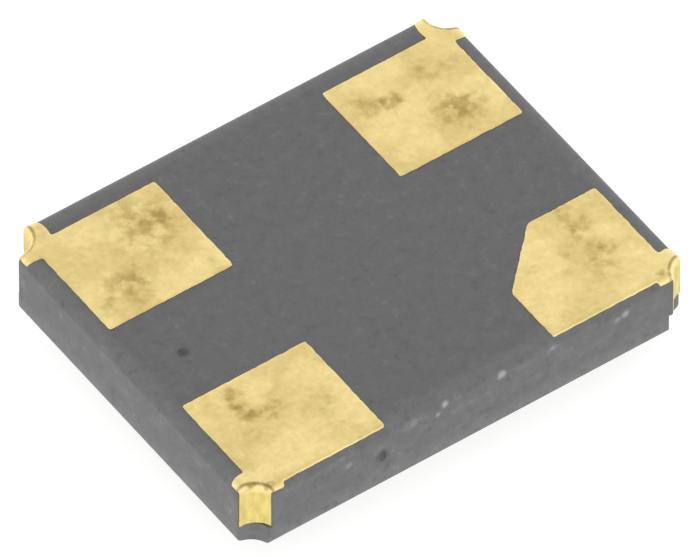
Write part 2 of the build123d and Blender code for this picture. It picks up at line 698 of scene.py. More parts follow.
    def warped(self, place: Socket, wander: Wander) -> Socket:
        """Let a point stray in X and Y, so that what is drawn from it loses its even outline.

        Args:
            place: The point on the surface.
            wander: How it strays.

        Returns:
            The point that strays.
        """
        stray = self.noise(place, Noise(wander.scale, wander.detail), "Color")
        reach, back = wander.reach, -wander.reach / 2
        moved = self.vector("MULTIPLY_ADD", stray, (reach, reach, 0.0), (back, back, 0.0))
        return self.vector("ADD", place, moved)

    def spots(self, place: Socket, spots: tuple[Spot, ...]) -> Source:
        """Add a field that is highest at the middle of each spot and fades out at its rim.

        Args:
            place: The point on the surface.
            spots: The spots.

        Returns:
            The strength of the strongest spot at each point.
        """
        strongest: Source = 0.0
        for spot in spots:
            distance = self.vector("DISTANCE", place, spot.place, output="Value")
            fade = self.step(distance, spot.radius, 0.0)
            strongest = self.math("MAXIMUM", strongest, self.times(fade, spot.strength))
        return strongest

    def bump(self, height: Socket, relief: Relief, over: Socket | None = None) -> Socket:
        """Tip the normal by a height.

        Args:
            height: The height over the surface, from 0 to 1.
            relief: The bump's values.
            over: Another bump's normal that this one lies over.

        Returns:
            The normal.
        """
        node = self.add("ShaderNodeBump")
        self.feed(node.inputs["Height"], height)
        node.inputs["Strength"].default_value = relief.strength
        node.inputs["Distance"].default_value = relief.depth * MM
        if over:
            self.feed(node.inputs["Normal"], over)
        return node.outputs["Normal"]


class EffectShelf:
    """The shared surface effects, each built once as a node group."""

    MIDDLE = 0.5
    FINE_RATIO = 3.1
    COARSE_SHARE = 0.62
    FINE_SHARE = 0.38
    GRIT_RATIO = 9.0
    LINE_STRETCH = (0.04, 1.0, 1.0)
    LINE_RAMP = (0.3, 0.7)

    @classmethod
    def group(cls, effect: Effect) -> Tree:
        """Find an effect's node group, or build it at its first use.

        Args:
            effect: Which effect.

        Returns:
            The node group.
        """
        if effect.value in bpy.data.node_groups:
            return bpy.data.node_groups[effect.value]
        builders = {
            Effect.GRAIN: cls.build_grain,
            Effect.BLOTCH: cls.build_blotch,
            Effect.BRUSHING: cls.build_brushing,
        }
        tree = bpy.data.node_groups.new(effect.value, "ShaderNodeTree")
        builders[effect](tree)
        return tree

    @staticmethod
    def open(tree: Tree, inputs: tuple[str, ...], outputs: tuple[str, ...]) -> tuple:
        """Give a new group its sockets.

        Args:
            tree: The new node group.
            inputs: The names of its number inputs, which follow the point on the surface.
            outputs: The names of its number outputs.

        Returns:
            The board to build on, the group's inputs and its outputs.
        """
        tree.interface.new_socket("Place", in_out="INPUT", socket_type="NodeSocketVector")
        for in_out, names in (("INPUT", inputs), ("OUTPUT", outputs)):
            for name in names:
                tree.interface.new_socket(name, in_out=in_out, socket_type="NodeSocketFloat")
        board = NodeBoard(tree)
        return board, board.add("NodeGroupInput").outputs, board.add("NodeGroupOutput").inputs

    @classmethod
    def build_grain(cls, tree: Tree) -> None:
        """Build the fine grain: small light and dark grains, and a height for bump.

        Args:
            tree: The new node group.
        """
        board, given, result = cls.open(tree, ("Grains", "Contrast"), ("Shade", "Height"))
        place, grains = given["Place"], given["Grains"]
        coarse = board.noise(place, Noise(grains, detail=3.0, roughness=0.65))
        finer = board.times(grains, cls.FINE_RATIO)
        fine = board.noise(place, Noise(finer, detail=2.0, roughness=0.6))
        both = board.plus(board.times(coarse, cls.COARSE_SHARE), board.times(fine, cls.FINE_SHARE))
        centred = board.times(board.minus(both, cls.MIDDLE), given["Contrast"])
        board.feed(result["Shade"], board.math("ADD", centred, cls.MIDDLE, clamp=True))
        board.feed(result["Height"], both)

    @classmethod
    def build_blotch(cls, tree: Tree) -> None:
        """Build soft blotches: patches with a granular edge, as a mask.

        Args:
            tree: The new node group.
        """
        board, given, result = cls.open(tree, ("Patches", "Start", "End", "Grit"), ("Mask",))
        patches = board.noise(given["Place"], Noise(given["Patches"], detail=2.0))
        finer = board.times(given["Patches"], cls.GRIT_RATIO)
        grit = board.noise(given["Place"], Noise(finer, detail=4.0, roughness=0.7))
        push = board.times(board.minus(grit, cls.MIDDLE), given["Grit"])
        mask = board.step(board.plus(patches, push), given["Start"], given["End"])
        board.feed(result["Mask"], mask)

    @classmethod
    def build_brushing(cls, tree: Tree) -> None:
        """Build fine brushed lines along X, as a shade and a height.

        Args:
            tree: The new node group.
        """
        board, given, result = cls.open(tree, ("Lines",), ("Shade", "Height"))
        place = board.vector("MULTIPLY", given["Place"], cls.LINE_STRETCH)
        lines = board.noise(place, Noise(given["Lines"], detail=3.0, roughness=0.6))
        board.feed(result["Shade"], board.step(lines, *cls.LINE_RAMP))
        board.feed(result["Height"], lines)


@dataclass(frozen=True)
class Finish:
    """A surface finish: a material that is built once and then worn by pieces."""

    name: str
    slot: str
    metallic: float = 0.0
    ior: float = 1.5
    specular: float = 0.5
    dust: float = 0.0
    dust_spread: float = 0.5
    transmission: float = 0.0

    def material(self) -> bpy.types.Material:
        """Find this finish's material, or build it at its first use.

        Returns:
            The material.
        """
        if self.name in bpy.data.materials:
            return bpy.data.materials[self.name]
        material = bpy.data.materials.new(self.name)
        material.use_nodes = True
        board = NodeBoard(material.node_tree)
        coat = self.paint(board)
        shader = material.node_tree.nodes["Principled BSDF"].inputs
        sources = {
            "Metallic": self.metallic,
            "IOR": self.ior,
            "Specular IOR Level": self.specular,
            "Sheen Weight": self.dust,
            "Sheen Roughness": self.dust_spread,
            "Transmission Weight": self.transmission,
            "Base Color": coat.colour,
            "Roughness": coat.roughness,
            "Normal": coat.normal,
        }
        for name, source in sources.items():
            board.feed(shader[name], source)
        return material

    def paint(self, board: NodeBoard) -> Coat:
        """Build what varies over the surface on a material's board, as each finish does its own."""
        raise NotImplementedError

    def dress(self, piece: Piece) -> None:
        """Give a piece this finish on all its faces."""
        piece.data.materials.clear()
        piece.data.materials.append(self.material())


@dataclass(frozen=True)
class FiredCeramic(Finish):
    """Dark fired alumina: grey, matt and faintly mottled, paler where the sheet was snapped, with
    painted light along the rims and low on the sides.
    """

    half_length: float = 1.25
    half_width: float = 1.0
    seal_level: float = 0.17
    side_depth: float = 0.03
    rim_depth: float = 0.11
    hem_height: float = 0.15
    face_shade: Colour = (0.115, 0.115, 0.116, 1.0)
    # Painted highlight: a band along the outline of the face, over its rounded rim, is painted
    # paler.
    rim_shade: Colour = (0.142, 0.142, 0.143, 1.0)
    side_shade: Colour = (0.119, 0.119, 0.12, 1.0)
    # Painted light: the sides are painted paler towards their lower end, above the seal.
    hem_shade: Colour = (0.16, 0.16, 0.162, 1.0)
    dark_grain: Colour = (0.06, 0.06, 0.062, 1.0)
    pale_grain: Colour = (0.3, 0.3, 0.31, 1.0)
    chip_shade: Colour = (0.36, 0.36, 0.37, 1.0)
    # Painted shade: the colour that the pits and the ground round them are darkened towards.
    pit_shade: Colour = (0.045, 0.045, 0.046, 1.0)
    mottle: Grain = Grain(15.0, 1.2)
    snapping: Blotch = Blotch(9.0, 0.42, 0.75, 0.5)
    dark_ramp: Pair = (0.5, 0.2)
    dark_share: Pair = (0.6, 0.9)
    pale_ramp: Pair = (0.5, 0.85)
    pale_share: Pair = (0.3, 0.8)
    snapped_share: float = 0.12
    chip_ramp: Pair = (0.06, 0.55)
    dirt_share: float = 0.8
    roughness: Pair = (0.52, 0.72)
    relief: Relief = Relief(0.3, 0.006)
    dust: float = 0.12
    dust_spread: float = 0.35
    chips: tuple[Spot, ...] = ()
    pits: tuple[Pit, ...] = ()

    def paint(self, board: NodeBoard) -> Coat:
        """Build the ceramic's shade, with painted highlights along the rims, painted light low on
        the sides and painted shade in the pits, and its mottling, chips and bump.

        Args:
            board: The material's node tree.

        Returns:
            The coat for the shader.
        """
        place = board.place()
        x, y, z = board.axes(place)
        to_end = board.minus(self.half_length, board.size(x))
        to_side = board.minus(self.half_width, board.size(y))
        to_rim = board.math("MINIMUM", to_end, to_side)
        rim = board.step(to_rim, self.rim_depth, self.side_depth)
        side = board.step(to_rim, self.side_depth, 0.0)
        hem = board.step(z, self.seal_level + self.hem_height, self.seal_level)
        # Painted highlight: paler colour painted along the rims.
        shade = board.mix(rim, self.face_shade, self.rim_shade)
        shade = board.mix(side, shade, self.side_shade)
        # Painted light: a paler band painted low on the sides.
        shade = board.mix(board.times(hem, side), shade, self.hem_shade)
        mottle, height = board.effect(Effect.GRAIN, place, self.mottle)
        (snapped,) = board.effect(Effect.BLOTCH, place, self.snapping)
        rough = board.times(side, snapped)
        dark = board.times(board.step(mottle, *self.dark_ramp), board.span(side, *self.dark_share))
        pale = board.times(board.step(mottle, *self.pale_ramp), board.span(rough, *self.pale_share))
        shade = board.mix(dark, shade, self.dark_grain)
        shade = board.mix(pale, shade, self.pale_grain)
        shade = board.mix(board.times(rough, self.snapped_share), shade, self.pale_grain)
        chipped = board.times(board.spots(place, self.chips), mottle)
        shade = board.mix(board.step(chipped, *self.chip_ramp), shade, self.chip_shade)
        # Painted shade: the pits and the ground round them are painted darker.
        pit_shading = board.spots(place, tuple(pit.shadow() for pit in self.pits))
        shade = board.mix(board.times(pit_shading, self.dirt_share), shade, self.pit_shade)
        return Coat(shade, board.span(mottle, *self.roughness), board.bump(height, self.relief))


@dataclass(frozen=True)
class GoldPlating(Finish):
    """Matt gold plating over a printed base: mottled, with patchy olive stains and a fine tooth, and
    painted dark reflections on the collars and round the notch mouths.
    """

    light: Colour = (0.99, 0.815, 0.375, 1.0)
    plain: Colour = (0.72, 0.56, 0.215, 1.0)
    stain: Colour = (0.47, 0.345, 0.11, 1.0)
    cloud_wander: Wander = Wander(6.0, 0.25)
    clouds: Noise = Noise(5.0, detail=1.0, roughness=0.4)
    cloud_ramp: Pair = (0.36, 0.64)
    cloud_share: float = 0.4
    mottle: Grain = Grain(11.0, 3.2)
    mottle_share: float = 0.43
    tooth: Grain = Grain(34.0, 3.0)
    tooth_share: float = 0.17
    lining_light: Colour = (0.86, 0.71, 0.26, 1.0)
    lining_deep: Colour = (0.67, 0.53, 0.16, 1.0)
    lining_top: float = -1.0
    lining_fade: float = 0.03
    streak_stretch: Triple = (1, 1, 0.3)
    streaks: Noise = Noise(22.0, detail=3.0, roughness=0.6)
    streak_ramp: Pair = (0.3, 0.7)
    stains: tuple[Spot, ...] = ()
    stain_wander: Wander = Wander(9.0, 0.2)
    stain_gain: float = 1.24
    stain_ramp: Pair = (0.0, 0.95)
    patch_wander: Wander = Wander(14.0, 0.09)
    patches: Noise = Noise(16.0, detail=2.0)
    patch_ramp: Pair = (0.37, 0.61)
    patch_grit: float = 0.5
    mottle_grit: float = 0.4
    # Painted reflection: the dark colour of the line round the rounded mouths of the notches.
    worn: Colour = (0.27, 0.205, 0.07, 1.0)
    worn_ring: float = 0.0
    worn_width: float = 0.013
    worn_share: Pair = (1.0, 0.35)
    hole_corner: Pair = (1.25, 1.0)
    roughness: Pair = (0.42, 0.57)
    relief: Relief = Relief(0.2, 0.008)

    def paint(self, board: NodeBoard) -> Coat:
        """Build the gold's tints, stains, painted dark reflections and tooth.

        Args:
            board: The material's node tree.

        Returns:
            The coat for the shader.
        """
        place = board.place()
        axes = board.axes(place)
        clouds = board.noise(board.warped(place, self.cloud_wander), self.clouds)
        mottle, _ = board.effect(Effect.GRAIN, place, self.mottle)
        tooth, height = board.effect(Effect.GRAIN, place, self.tooth)
        tint = board.times(board.step(clouds, *self.cloud_ramp), self.cloud_share)
        tint = board.plus(tint, board.times(mottle, self.mottle_share))
        tint = board.plus(tint, board.times(tooth, self.tooth_share))
        colour = board.mix(tint, self.plain, self.light)
        lined = board.step(axes[2], self.lining_top, self.lining_top - self.lining_fade)
        streaks = board.noise(board.place(self.streak_stretch), self.streaks)
        streaked = board.step(streaks, *self.streak_ramp)
        colour = board.mix(lined, colour, board.mix(streaked, self.lining_deep, self.lining_light))
        # Real stains and painted dark reflections on the collars darken the gold together.
        stain_and_reflection_mask = self.staining(board, place, mottle)
        colour = board.mix(stain_and_reflection_mask, colour, self.stain)
        # Painted reflection: a dark line painted round the rounded mouths of the notches.
        if self.worn_ring:
            colour = board.mix(self.wear(board, axes, mottle), colour, self.worn)
        return Coat(colour, board.span(stain_and_reflection_mask, *self.roughness), board.bump(height, self.relief))

    def staining(self, board: NodeBoard, place: Socket, mottle: Socket) -> Socket:
        """Build the mask of the stains and of the painted dark reflections on the collars, broken up
        into patches.

        Args:
            board: The material's node tree.
            place: The point on the surface.
            mottle: The mottling.

        Returns:
            The mask.
        """
        patches = board.noise(board.warped(place, self.patch_wander), self.patches)
        patchy = board.times(board.step(patches, *self.patch_ramp), self.patch_grit)
        grit = board.plus(board.times(mottle, self.mottle_grit), patchy)
        spots = board.spots(board.warped(place, self.stain_wander), self.stains)
        stain_and_reflection_mask = board.times(spots, board.minus(self.stain_gain, grit))
        return board.step(stain_and_reflection_mask, *self.stain_ramp)

    def wear(self, board: NodeBoard, axes: tuple[Socket, ...], mottle: Socket) -> Socket:
        """Build the mask of the painted dark reflection round the mouths of the notches.

        Args:
            board: The material's node tree.
            axes: The point's X, Y and Z.
            mottle: The mottling, which breaks the line up.

        Returns:
            The mask.
        """
        legs = [board.minus(board.size(board.minus(value, offset)), corner)
                for value, offset, corner in zip(axes, HOLE_OFFSET, self.hole_corner)]
        off_ring = board.size(board.minus(board.length(*legs), self.worn_ring))
        line = board.step(off_ring, self.worn_width, 0.0)
        above = board.step(axes[2], self.lining_top - self.lining_fade, self.lining_top)
        return board.times(board.times(line, above), board.span(mottle, *self.worn_share))


@dataclass(frozen=True)
class WorkedMetal(Finish):
    """Bare or nickel-plated metal with brushed lines and faint blotches."""

    plain: Colour = (0.47, 0.455, 0.425, 1.0)
    dull: Colour = (0.33, 0.315, 0.295, 1.0)
    brushing: Brushing = Brushing(45.0)
    lines_share: float = 0.35
    marks: Blotch = Blotch(6.0, 0.45, 0.75, 0.6)
    marks_share: float = 0.35
    roughness: Pair = (0.32, 0.52)
    relief: Relief = Relief(0.3, 0.002)

    def paint(self, board: NodeBoard) -> Coat:
        """Build the metal's tints and lines.

        Args:
            board: The material's node tree.

        Returns:
            The coat for the shader.
        """
        place = board.place()
        lines, ridges = board.effect(Effect.BRUSHING, place, self.brushing)
        (marks,) = board.effect(Effect.BLOTCH, place, self.marks)
        marked = board.times(marks, self.marks_share)
        dulling = board.math("ADD", marked, board.times(lines, self.lines_share), clamp=True)
        colour = board.mix(dulling, self.plain, self.dull)
        return Coat(colour, board.span(dulling, *self.roughness), board.bump(ridges, self.relief))


@dataclass(frozen=True)
class WeldedLid(WorkedMetal):
    """The lid's rolled sheet, with the rippled and tinted tracks of seam welding along its edges."""

    half_length: float = 1.11
    half_width: float = 0.86
    corner: float = 0.2
    track_start: float = 0.03
    track_end: float = 0.15
    track_fade: float = 0.02
    ripple_pitch: float = 0.034
    ripple_bow: float = 60.0
    ripple_wander: float = 0.02
    ripple_noise: Noise = Noise(9.0, detail=2.0)
    ripple_relief: Relief = Relief(0.6, 0.003)
    heat_tint: Colour = (0.39, 0.345, 0.27, 1.0)
    heat_share: Pair = (0.35, 0.75)

    def paint(self, board: NodeBoard) -> Coat:
        """Build the rolled sheet, with the welded tracks over it.

        Args:
            board: The material's node tree.

        Returns:
            The coat for the shader.
        """
        sheet = super().paint(board)
        track, ripples = self.weld(board)
        tinted = board.times(track, board.span(ripples, *self.heat_share))
        colour = board.mix(tinted, sheet.colour, self.heat_tint)
        raised = board.times(track, ripples)
        return Coat(colour, sheet.roughness, board.bump(raised, self.ripple_relief, sheet.normal))

    def weld(self, board: NodeBoard) -> tuple[Socket, Socket]:
        """Build the mask of the welded tracks, and the ripples along them.

        Args:
            board: The material's node tree.

        Returns:
            The mask and the ripples, each from 0 to 1.
        """
        place = board.place()
        x, y, _ = board.axes(place)
        past_end = board.minus(board.size(x), self.half_length - self.corner)
        past_side = board.minus(board.size(y), self.half_width - self.corner)
        outward = board.length(*(board.math("MAXIMUM", leg, 0.0) for leg in (past_end, past_side)))
        inward = board.math("MINIMUM", board.math("MAXIMUM", past_end, past_side), 0.0)
        to_edge = board.minus(self.corner, board.plus(outward, inward))
        begin = board.step(to_edge, self.track_start, self.track_start + self.track_fade)
        end = board.step(to_edge, self.track_end, self.track_end - self.track_fade)
        on_side = board.math("GREATER_THAN", past_side, past_end)
        on_end = board.minus(1.0, on_side)
        along = board.plus(board.times(x, on_side), board.times(y, on_end))
        off_middle = board.minus(to_edge, (self.track_start + self.track_end) / 2)
        bow = board.times(board.times(off_middle, off_middle), self.ripple_bow * self.ripple_pitch)
        stray = board.times(board.noise(place, self.ripple_noise), self.ripple_wander)
        bent = board.plus(along, board.plus(bow, stray))
        wave = board.math("SINE", board.times(bent, math.tau / self.ripple_pitch))
        ripples = board.plus(board.times(wave, EffectShelf.MIDDLE), EffectShelf.MIDDLE)
        return board.times(begin, end), ripples


@dataclass(frozen=True)
class GrainedSolid(Finish):
    """A solid of two close shades with a grain."""

    base: Colour = WHITE
    fleck: Colour = WHITE
    grain: Grain = Grain(35.0, 2.0)
    roughness: Pair = (0.7, 0.85)
    relief: Relief = Relief(0.5, 0.006)

    def paint(self, board: NodeBoard) -> Coat:
        """Build the grain.

        Args:
            board: The material's node tree.

        Returns:
            The coat for the shader.
        """
        shade, height = board.effect(Effect.GRAIN, board.place(), self.grain)
        colour = board.mix(shade, self.base, self.fleck)
        return Coat(colour, board.span(shade, *self.roughness), board.bump(height, self.relief))


@dataclass(frozen=True)
class PrintedPaste(GrainedSolid):
    """Fired or cured paste: dull, with a coarse grain."""

    base: Colour = (0.2, 0.2, 0.2, 1.0)
    fleck: Colour = (0.32, 0.32, 0.32, 1.0)


@dataclass(frozen=True)
class LappedQuartz(GrainedSolid):
    """Clear quartz with a lapped, slightly milky face."""

    base: Colour = (0.9, 0.93, 0.95, 1.0)
    fleck: Colour = (0.8, 0.83, 0.85, 1.0)
    grain: Grain = Grain(70.0, 1.5)
    roughness: Pair = (0.12, 0.32)
    relief: Relief = Relief(0.1, 0.003)
    transmission: float = 0.85


# Where the marks lie: the near side along Y, and the levels of the pads and the collars.
NEAR_SIDE = -1.0
PAD_LEVEL = 0.55
COLLAR_LEVEL = 0.54
# Small pale chips along the rim of the near side, just below the face: X, Z, radius and strength.
RIM_CHIPS = tuple(Spot((x, NEAR_SIDE, z), radius, strength) for x, z, radius, strength in (
    (-0.73, 0.5, 0.032, 0.5),
    (-0.69, 0.43, 0.047, 0.55),
    (-0.33, 0.49, 0.081, 0.4),
    (-0.19, 0.455, 0.032, 0.6),
    (-0.15, 0.5, 0.041, 0.9),
    (0.17, 0.495, 0.046, 1.0),
    (0.46, 0.495, 0.032, 0.6),
    (0.83, 0.45, 0.041, 0.55),
    (0.87, 0.465, 0.046, 0.8),
))
# Two small pits left by the firing, one on the face and one on the near side.
FIRING_PITS = (
    Pit((-0.97, -0.07, 0.54), (0.03, 0.024, 0.01)),
    Pit((-0.5, NEAR_SIDE, 0.376), (0.017, 0.01, 0.04)),
)
# Where handling and heat have stained the plating, in loose clusters about the middle of each pad:
# X, Y, radius and strength.
PAD_STAINS = tuple(Spot((x, y, PAD_LEVEL), radius, strength) for x, y, radius, strength in (
    (0.97, -0.5, 0.13, 0.95),
    (0.96, -0.39, 0.11, 0.5),
    (1.0, -0.68, 0.09, 0.82),
    (0.93, -0.74, 0.15, 0.62),
    (0.88, -0.59, 0.17, 0.45),
    (0.63, -0.57, 0.07, 0.35),
    (-0.94, -0.54, 0.13, 0.9),
    (-0.93, -0.42, 0.12, 0.6),
    (-0.84, -0.59, 0.1, 0.7),
    (-0.62, -0.72, 0.13, 0.45),
    (-1.0, -0.71, 0.18, 0.3),
    (-0.58, 0.67, 0.14, 1.0),
    (-0.68, 0.67, 0.34, 0.65),
    (-0.93, 0.4, 0.22, 0.72),
    (-1.09, 0.34, 0.09, 0.55),
    (-0.53, 0.31, 0.06, 0.4),
    (0.94, 0.43, 0.21, 0.8),
    (0.94, 0.33, 0.1, 0.5),
    (0.69, 0.65, 0.11, 0.85),
    (0.6, 0.67, 0.14, 0.6),
    (0.96, 0.73, 0.13, 0.5),
    (1.05, 0.68, 0.13, 0.4),
))
# Painted dark reflections on the collars of two terminals, where they bend over the rim, drawn as
# the stains are: X, Y, radius and strength.
COLLAR_DARK_REFLECTIONS = tuple(Spot((x, y, COLLAR_LEVEL), radius, strength) for x, y, radius, strength in (
    (1.14, -0.94, 0.06, 0.6),
    (-1.195, -0.91, 0.04, 0.8),
    (-1.115, -0.975, 0.04, 0.8),
))

CERAMIC = FiredCeramic("fired_ceramic_grey", "ceramic", ior=1.55, specular=0.45,
                       chips=RIM_CHIPS, pits=FIRING_PITS)
TERMINAL_GOLD = GoldPlating("terminal_gold", "terminal_plating", metallic=1.0,
                            stains=PAD_STAINS + COLLAR_DARK_REFLECTIONS, lining_top=0.52, worn_ring=0.131)
INNER_GOLD = GoldPlating("inner_gold", "inner_plating", metallic=1.0)
SEAL_GOLD = GoldPlating("seal_gold", "seal_plating", metallic=1.0, plain=(0.74, 0.6, 0.3, 1.0))
TUNGSTEN = PrintedPaste("fired_tungsten", "tungsten_fill", metallic=1.0)
BRAZE = WorkedMetal("silver_braze", "braze_metal", metallic=1.0, plain=(0.62, 0.58, 0.5, 1.0),
                    dull=(0.48, 0.43, 0.35, 1.0), roughness=(0.38, 0.58))
RING_METAL = WorkedMetal("nickel_on_ring", "ring_metal", metallic=1.0)
LID_METAL = WeldedLid("nickel_on_lid", "lid_metal", metallic=1.0, plain=(0.52, 0.505, 0.475, 1.0),
                      dull=(0.4, 0.385, 0.36, 1.0))
QUARTZ = LappedQuartz("lapped_quartz", "quartz", ior=1.544)
ELECTRODE = WorkedMetal("silver_film", "electrode_film", metallic=1.0, plain=(0.8, 0.8, 0.79, 1.0),
                        dull=(0.7, 0.7, 0.69, 1.0), roughness=(0.2, 0.4))
ADHESIVE = PrintedPaste("silver_adhesive", "adhesive", metallic=0.4, base=(0.36, 0.36, 0.35, 1.0),
                        fleck=(0.5, 0.5, 0.49, 1.0))

# Nodes of the frame that keep their own mesh, with the finish that each one wears.
INNER_NODES: dict[str, Finish] = {
    "bond_pad_1": INNER_GOLD,
    "bond_pad_3": INNER_GOLD,
    "ground_link_2": TUNGSTEN,
    "ground_link_4": TUNGSTEN,
    "seal_frame": SEAL_GOLD,
    "braze_frame": BRAZE,
    "quartz_blank": QUARTZ,
    "electrode_upper": ELECTRODE,
    "electrode_lower": ELECTRODE,
    "adhesive_1": ADHESIVE,
    "adhesive_3": ADHESIVE,
}


def hand_over(piece: Piece, smooth_angle: float, finish: Finish, node: str) -> Piece:
    """Finish a piece: dress it, tie it to the body and let it stand for its node.

    Args:
        piece: The piece, in millimetres.
        smooth_angle: The angle up to which its edges are smooth.
        finish: The finish that it wears.
        node: The node of the frame that it replaces.

    Returns:
        The piece, in metres.
    """
    Bench.to_metres(piece, smooth_angle)
    finish.dress(piece)
    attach(piece, BODY)
    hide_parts(node)
    return piece


@dataclass
class SheetLayout:
    """Where the fired sheets of the package lie, and the holes punched at their corners."""

    ceramic: Extent = field(default_factory=lambda: Extent.of_node("ceramic_body"))
    floor_level: float = field(default_factory=lambda: Extent.of_node("terminal_1").low.z)
    face_rim: float = 0.045
    seal_rim: float = 0.03
    notch_radius: float = 0.12
    mouth_radius: float = 0.02
    notch_offset: Pair = HOLE_OFFSET
    wall_notch_radius: float = 0.122
    wall_notch_offset: Pair = (-0.007, -0.021)
    rim_segments: int = 8
    hole_sides: int = 96

    @property
    def half(self) -> Vector:
        """The body's half-sizes along X and Y."""
        return ((self.ceramic.high - self.ceramic.low) / 2).to_2d()

    @property
    def face_level(self) -> float:
        """The level of the face that carries the terminals."""
        return self.ceramic.high.z

    @property
    def wall_level(self) -> float:
        """The level of the end of the wall, on the lid side."""
        return self.ceramic.low.z

    def corner_point(self, corner: Corner, offset: Pair) -> Vector:
        """Return a corner of the body, shifted by a sheet's offset."""
        return corner.sides * self.half + Vector(offset)

    def hole(self, corner: Corner, skin: float) -> Piece:
        """Make the solid that punches a floor-sheet hole with a rounded mouth.

        Args:
            corner: The corner that the hole is at.
            skin: How much narrower the hole is than the bare one.

        Returns:
            The solid, from the level of the cavity floor up.
        """
        center = self.corner_point(corner, self.notch_offset)
        wall = self.notch_radius - skin
        bend = self.mouth_radius + skin
        mouth_level = self.face_level - self.mouth_radius
        tool = Bench.rod("hole", center, wall, (self.floor_level, mouth_level), self.hole_sides)
        middle = (center.x, center.y, mouth_level)
        radius = wall
        height = 0.0
        with Bench.editing(tool):
            Bench.pick(tool, Part.FACES, lambda place, normal: normal.z > LEVEL_SHARE)
            for step in range(1, self.rim_segments + 1):
                angle = QUARTER_TURN * step / self.rim_segments
                rise = bend * math.sin(angle) - height
                wider = wall + bend * (1 - math.cos(angle))
                ratio = wider / radius
                bpy.ops.mesh.extrude_region_move(TRANSFORM_OT_translate={"value": (0, 0, rise)})
                bpy.ops.transform.resize(value=(ratio, ratio, 1), center_override=middle)
                radius = wider
                height += rise
            bpy.ops.mesh.extrude_region_move(TRANSFORM_OT_translate={"value": (0, 0, OVERRUN)})
        return tool

    def sheet(self, name: str, skin: float, bottom: float) -> Piece:
        """Make the block of the fired sheets, grown by a skin and holed at its corners.

        Args:
            name: The block's name.
            skin: How far the block is grown over the face and the sides.
            bottom: The level of its lower end.

        Returns:
            The block.
        """
        top = self.face_level + skin
        piece = Bench.block(name, self.ceramic.grown(skin).between(bottom, top))
        Bench.round_edges(piece, lambda a, b: min(a.z, b.z) > top - MERGE_GAP,
                          self.face_rim + skin, self.rim_segments)
        if bottom <= self.wall_level:
            Bench.round_edges(piece, lambda a, b: max(a.z, b.z) < bottom + MERGE_GAP,
                              self.seal_rim, self.rim_segments)
        for corner in Corner:
            Bench.combine(piece, self.hole(corner, skin), Cut.TAKE_AWAY)
        return piece


@dataclass
class CeramicBody:
    """The fired ceramic: face, snapped sides, corner notches and the cavity for the blank."""

    layout: SheetLayout
    wall_width: float = 0.33
    cavity_corner: float = 0.12
    corner_segments: int = 10
    smooth_angle: float = math.radians(35)
    prints: tuple[str, ...] = ("bond_pad_1", "bond_pad_3", "ground_link_2", "ground_link_4")
    print_spread: float = 1.01
    pits: tuple[Pit, ...] = FIRING_PITS
    pit_roundness: int = 3
    pit_unevenness: float = 0.002
    sliver: float = 2e-5

    def pit_tool(self, number: int, pit: Pit) -> Piece:
        """Make the flattened, uneven ball that sinks a pit into the surface.

        Args:
            number: The seed of its unevenness.
            pit: Where the pit is, and how wide.

        Returns:
            The ball.
        """
        Bench.clear()
        bpy.ops.mesh.primitive_ico_sphere_add(subdivisions=self.pit_roundness, radius=1.0,
                                              location=pit.place, scale=pit.half_sizes)
        ball = Bench.named("pit")
        with Bench.editing(ball):
            bpy.ops.mesh.select_all(action="SELECT")
            bpy.ops.transform.vertex_random(offset=self.pit_unevenness, uniform=1.0, seed=number)
        return ball

    def cavity(self) -> Piece:
        """Make the solid that opens the cavity from the lid side.

        Returns:
            The solid.
        """
        inner = self.layout.ceramic.grown(-self.wall_width)
        room = inner.between(self.layout.wall_level - OVERRUN, self.layout.floor_level)
        return Bench.plate("cavity", room, self.cavity_corner, self.corner_segments)

    def wall_hole(self, corner: Corner) -> Piece:
        """Make the solid that punches a wall-sheet hole.

        Args:
            corner: The corner that the hole is at.

        Returns:
            The solid.
        """
        layout = self.layout
        center = layout.corner_point(corner, layout.wall_notch_offset)
        levels = (layout.wall_level - OVERRUN, layout.floor_level)
        return Bench.rod("wall_hole", center, layout.wall_notch_radius, levels, layout.hole_sides)

    def build(self) -> list[Piece]:
        """Make the ceramic and hand it over.

        Returns:
            The ceramic.
        """
        piece = self.layout.sheet("ceramic_shell", 0.0, self.layout.wall_level)
        Bench.merge(piece, MERGE_GAP)
        for corner in Corner:
            Bench.combine(piece, self.wall_hole(corner), Cut.TAKE_AWAY)
        Bench.combine(piece, self.cavity(), Cut.TAKE_AWAY)
        for node in self.prints:
            Bench.combine(piece, Bench.node_copy(node, self.print_spread), Cut.TAKE_AWAY)
        for number, pit in enumerate(self.pits):
            Bench.combine(piece, self.pit_tool(number, pit), Cut.TAKE_AWAY)
        Bench.clean(piece, self.sliver)
        return [hand_over(piece, self.smooth_angle, CERAMIC, "ceramic_body")]


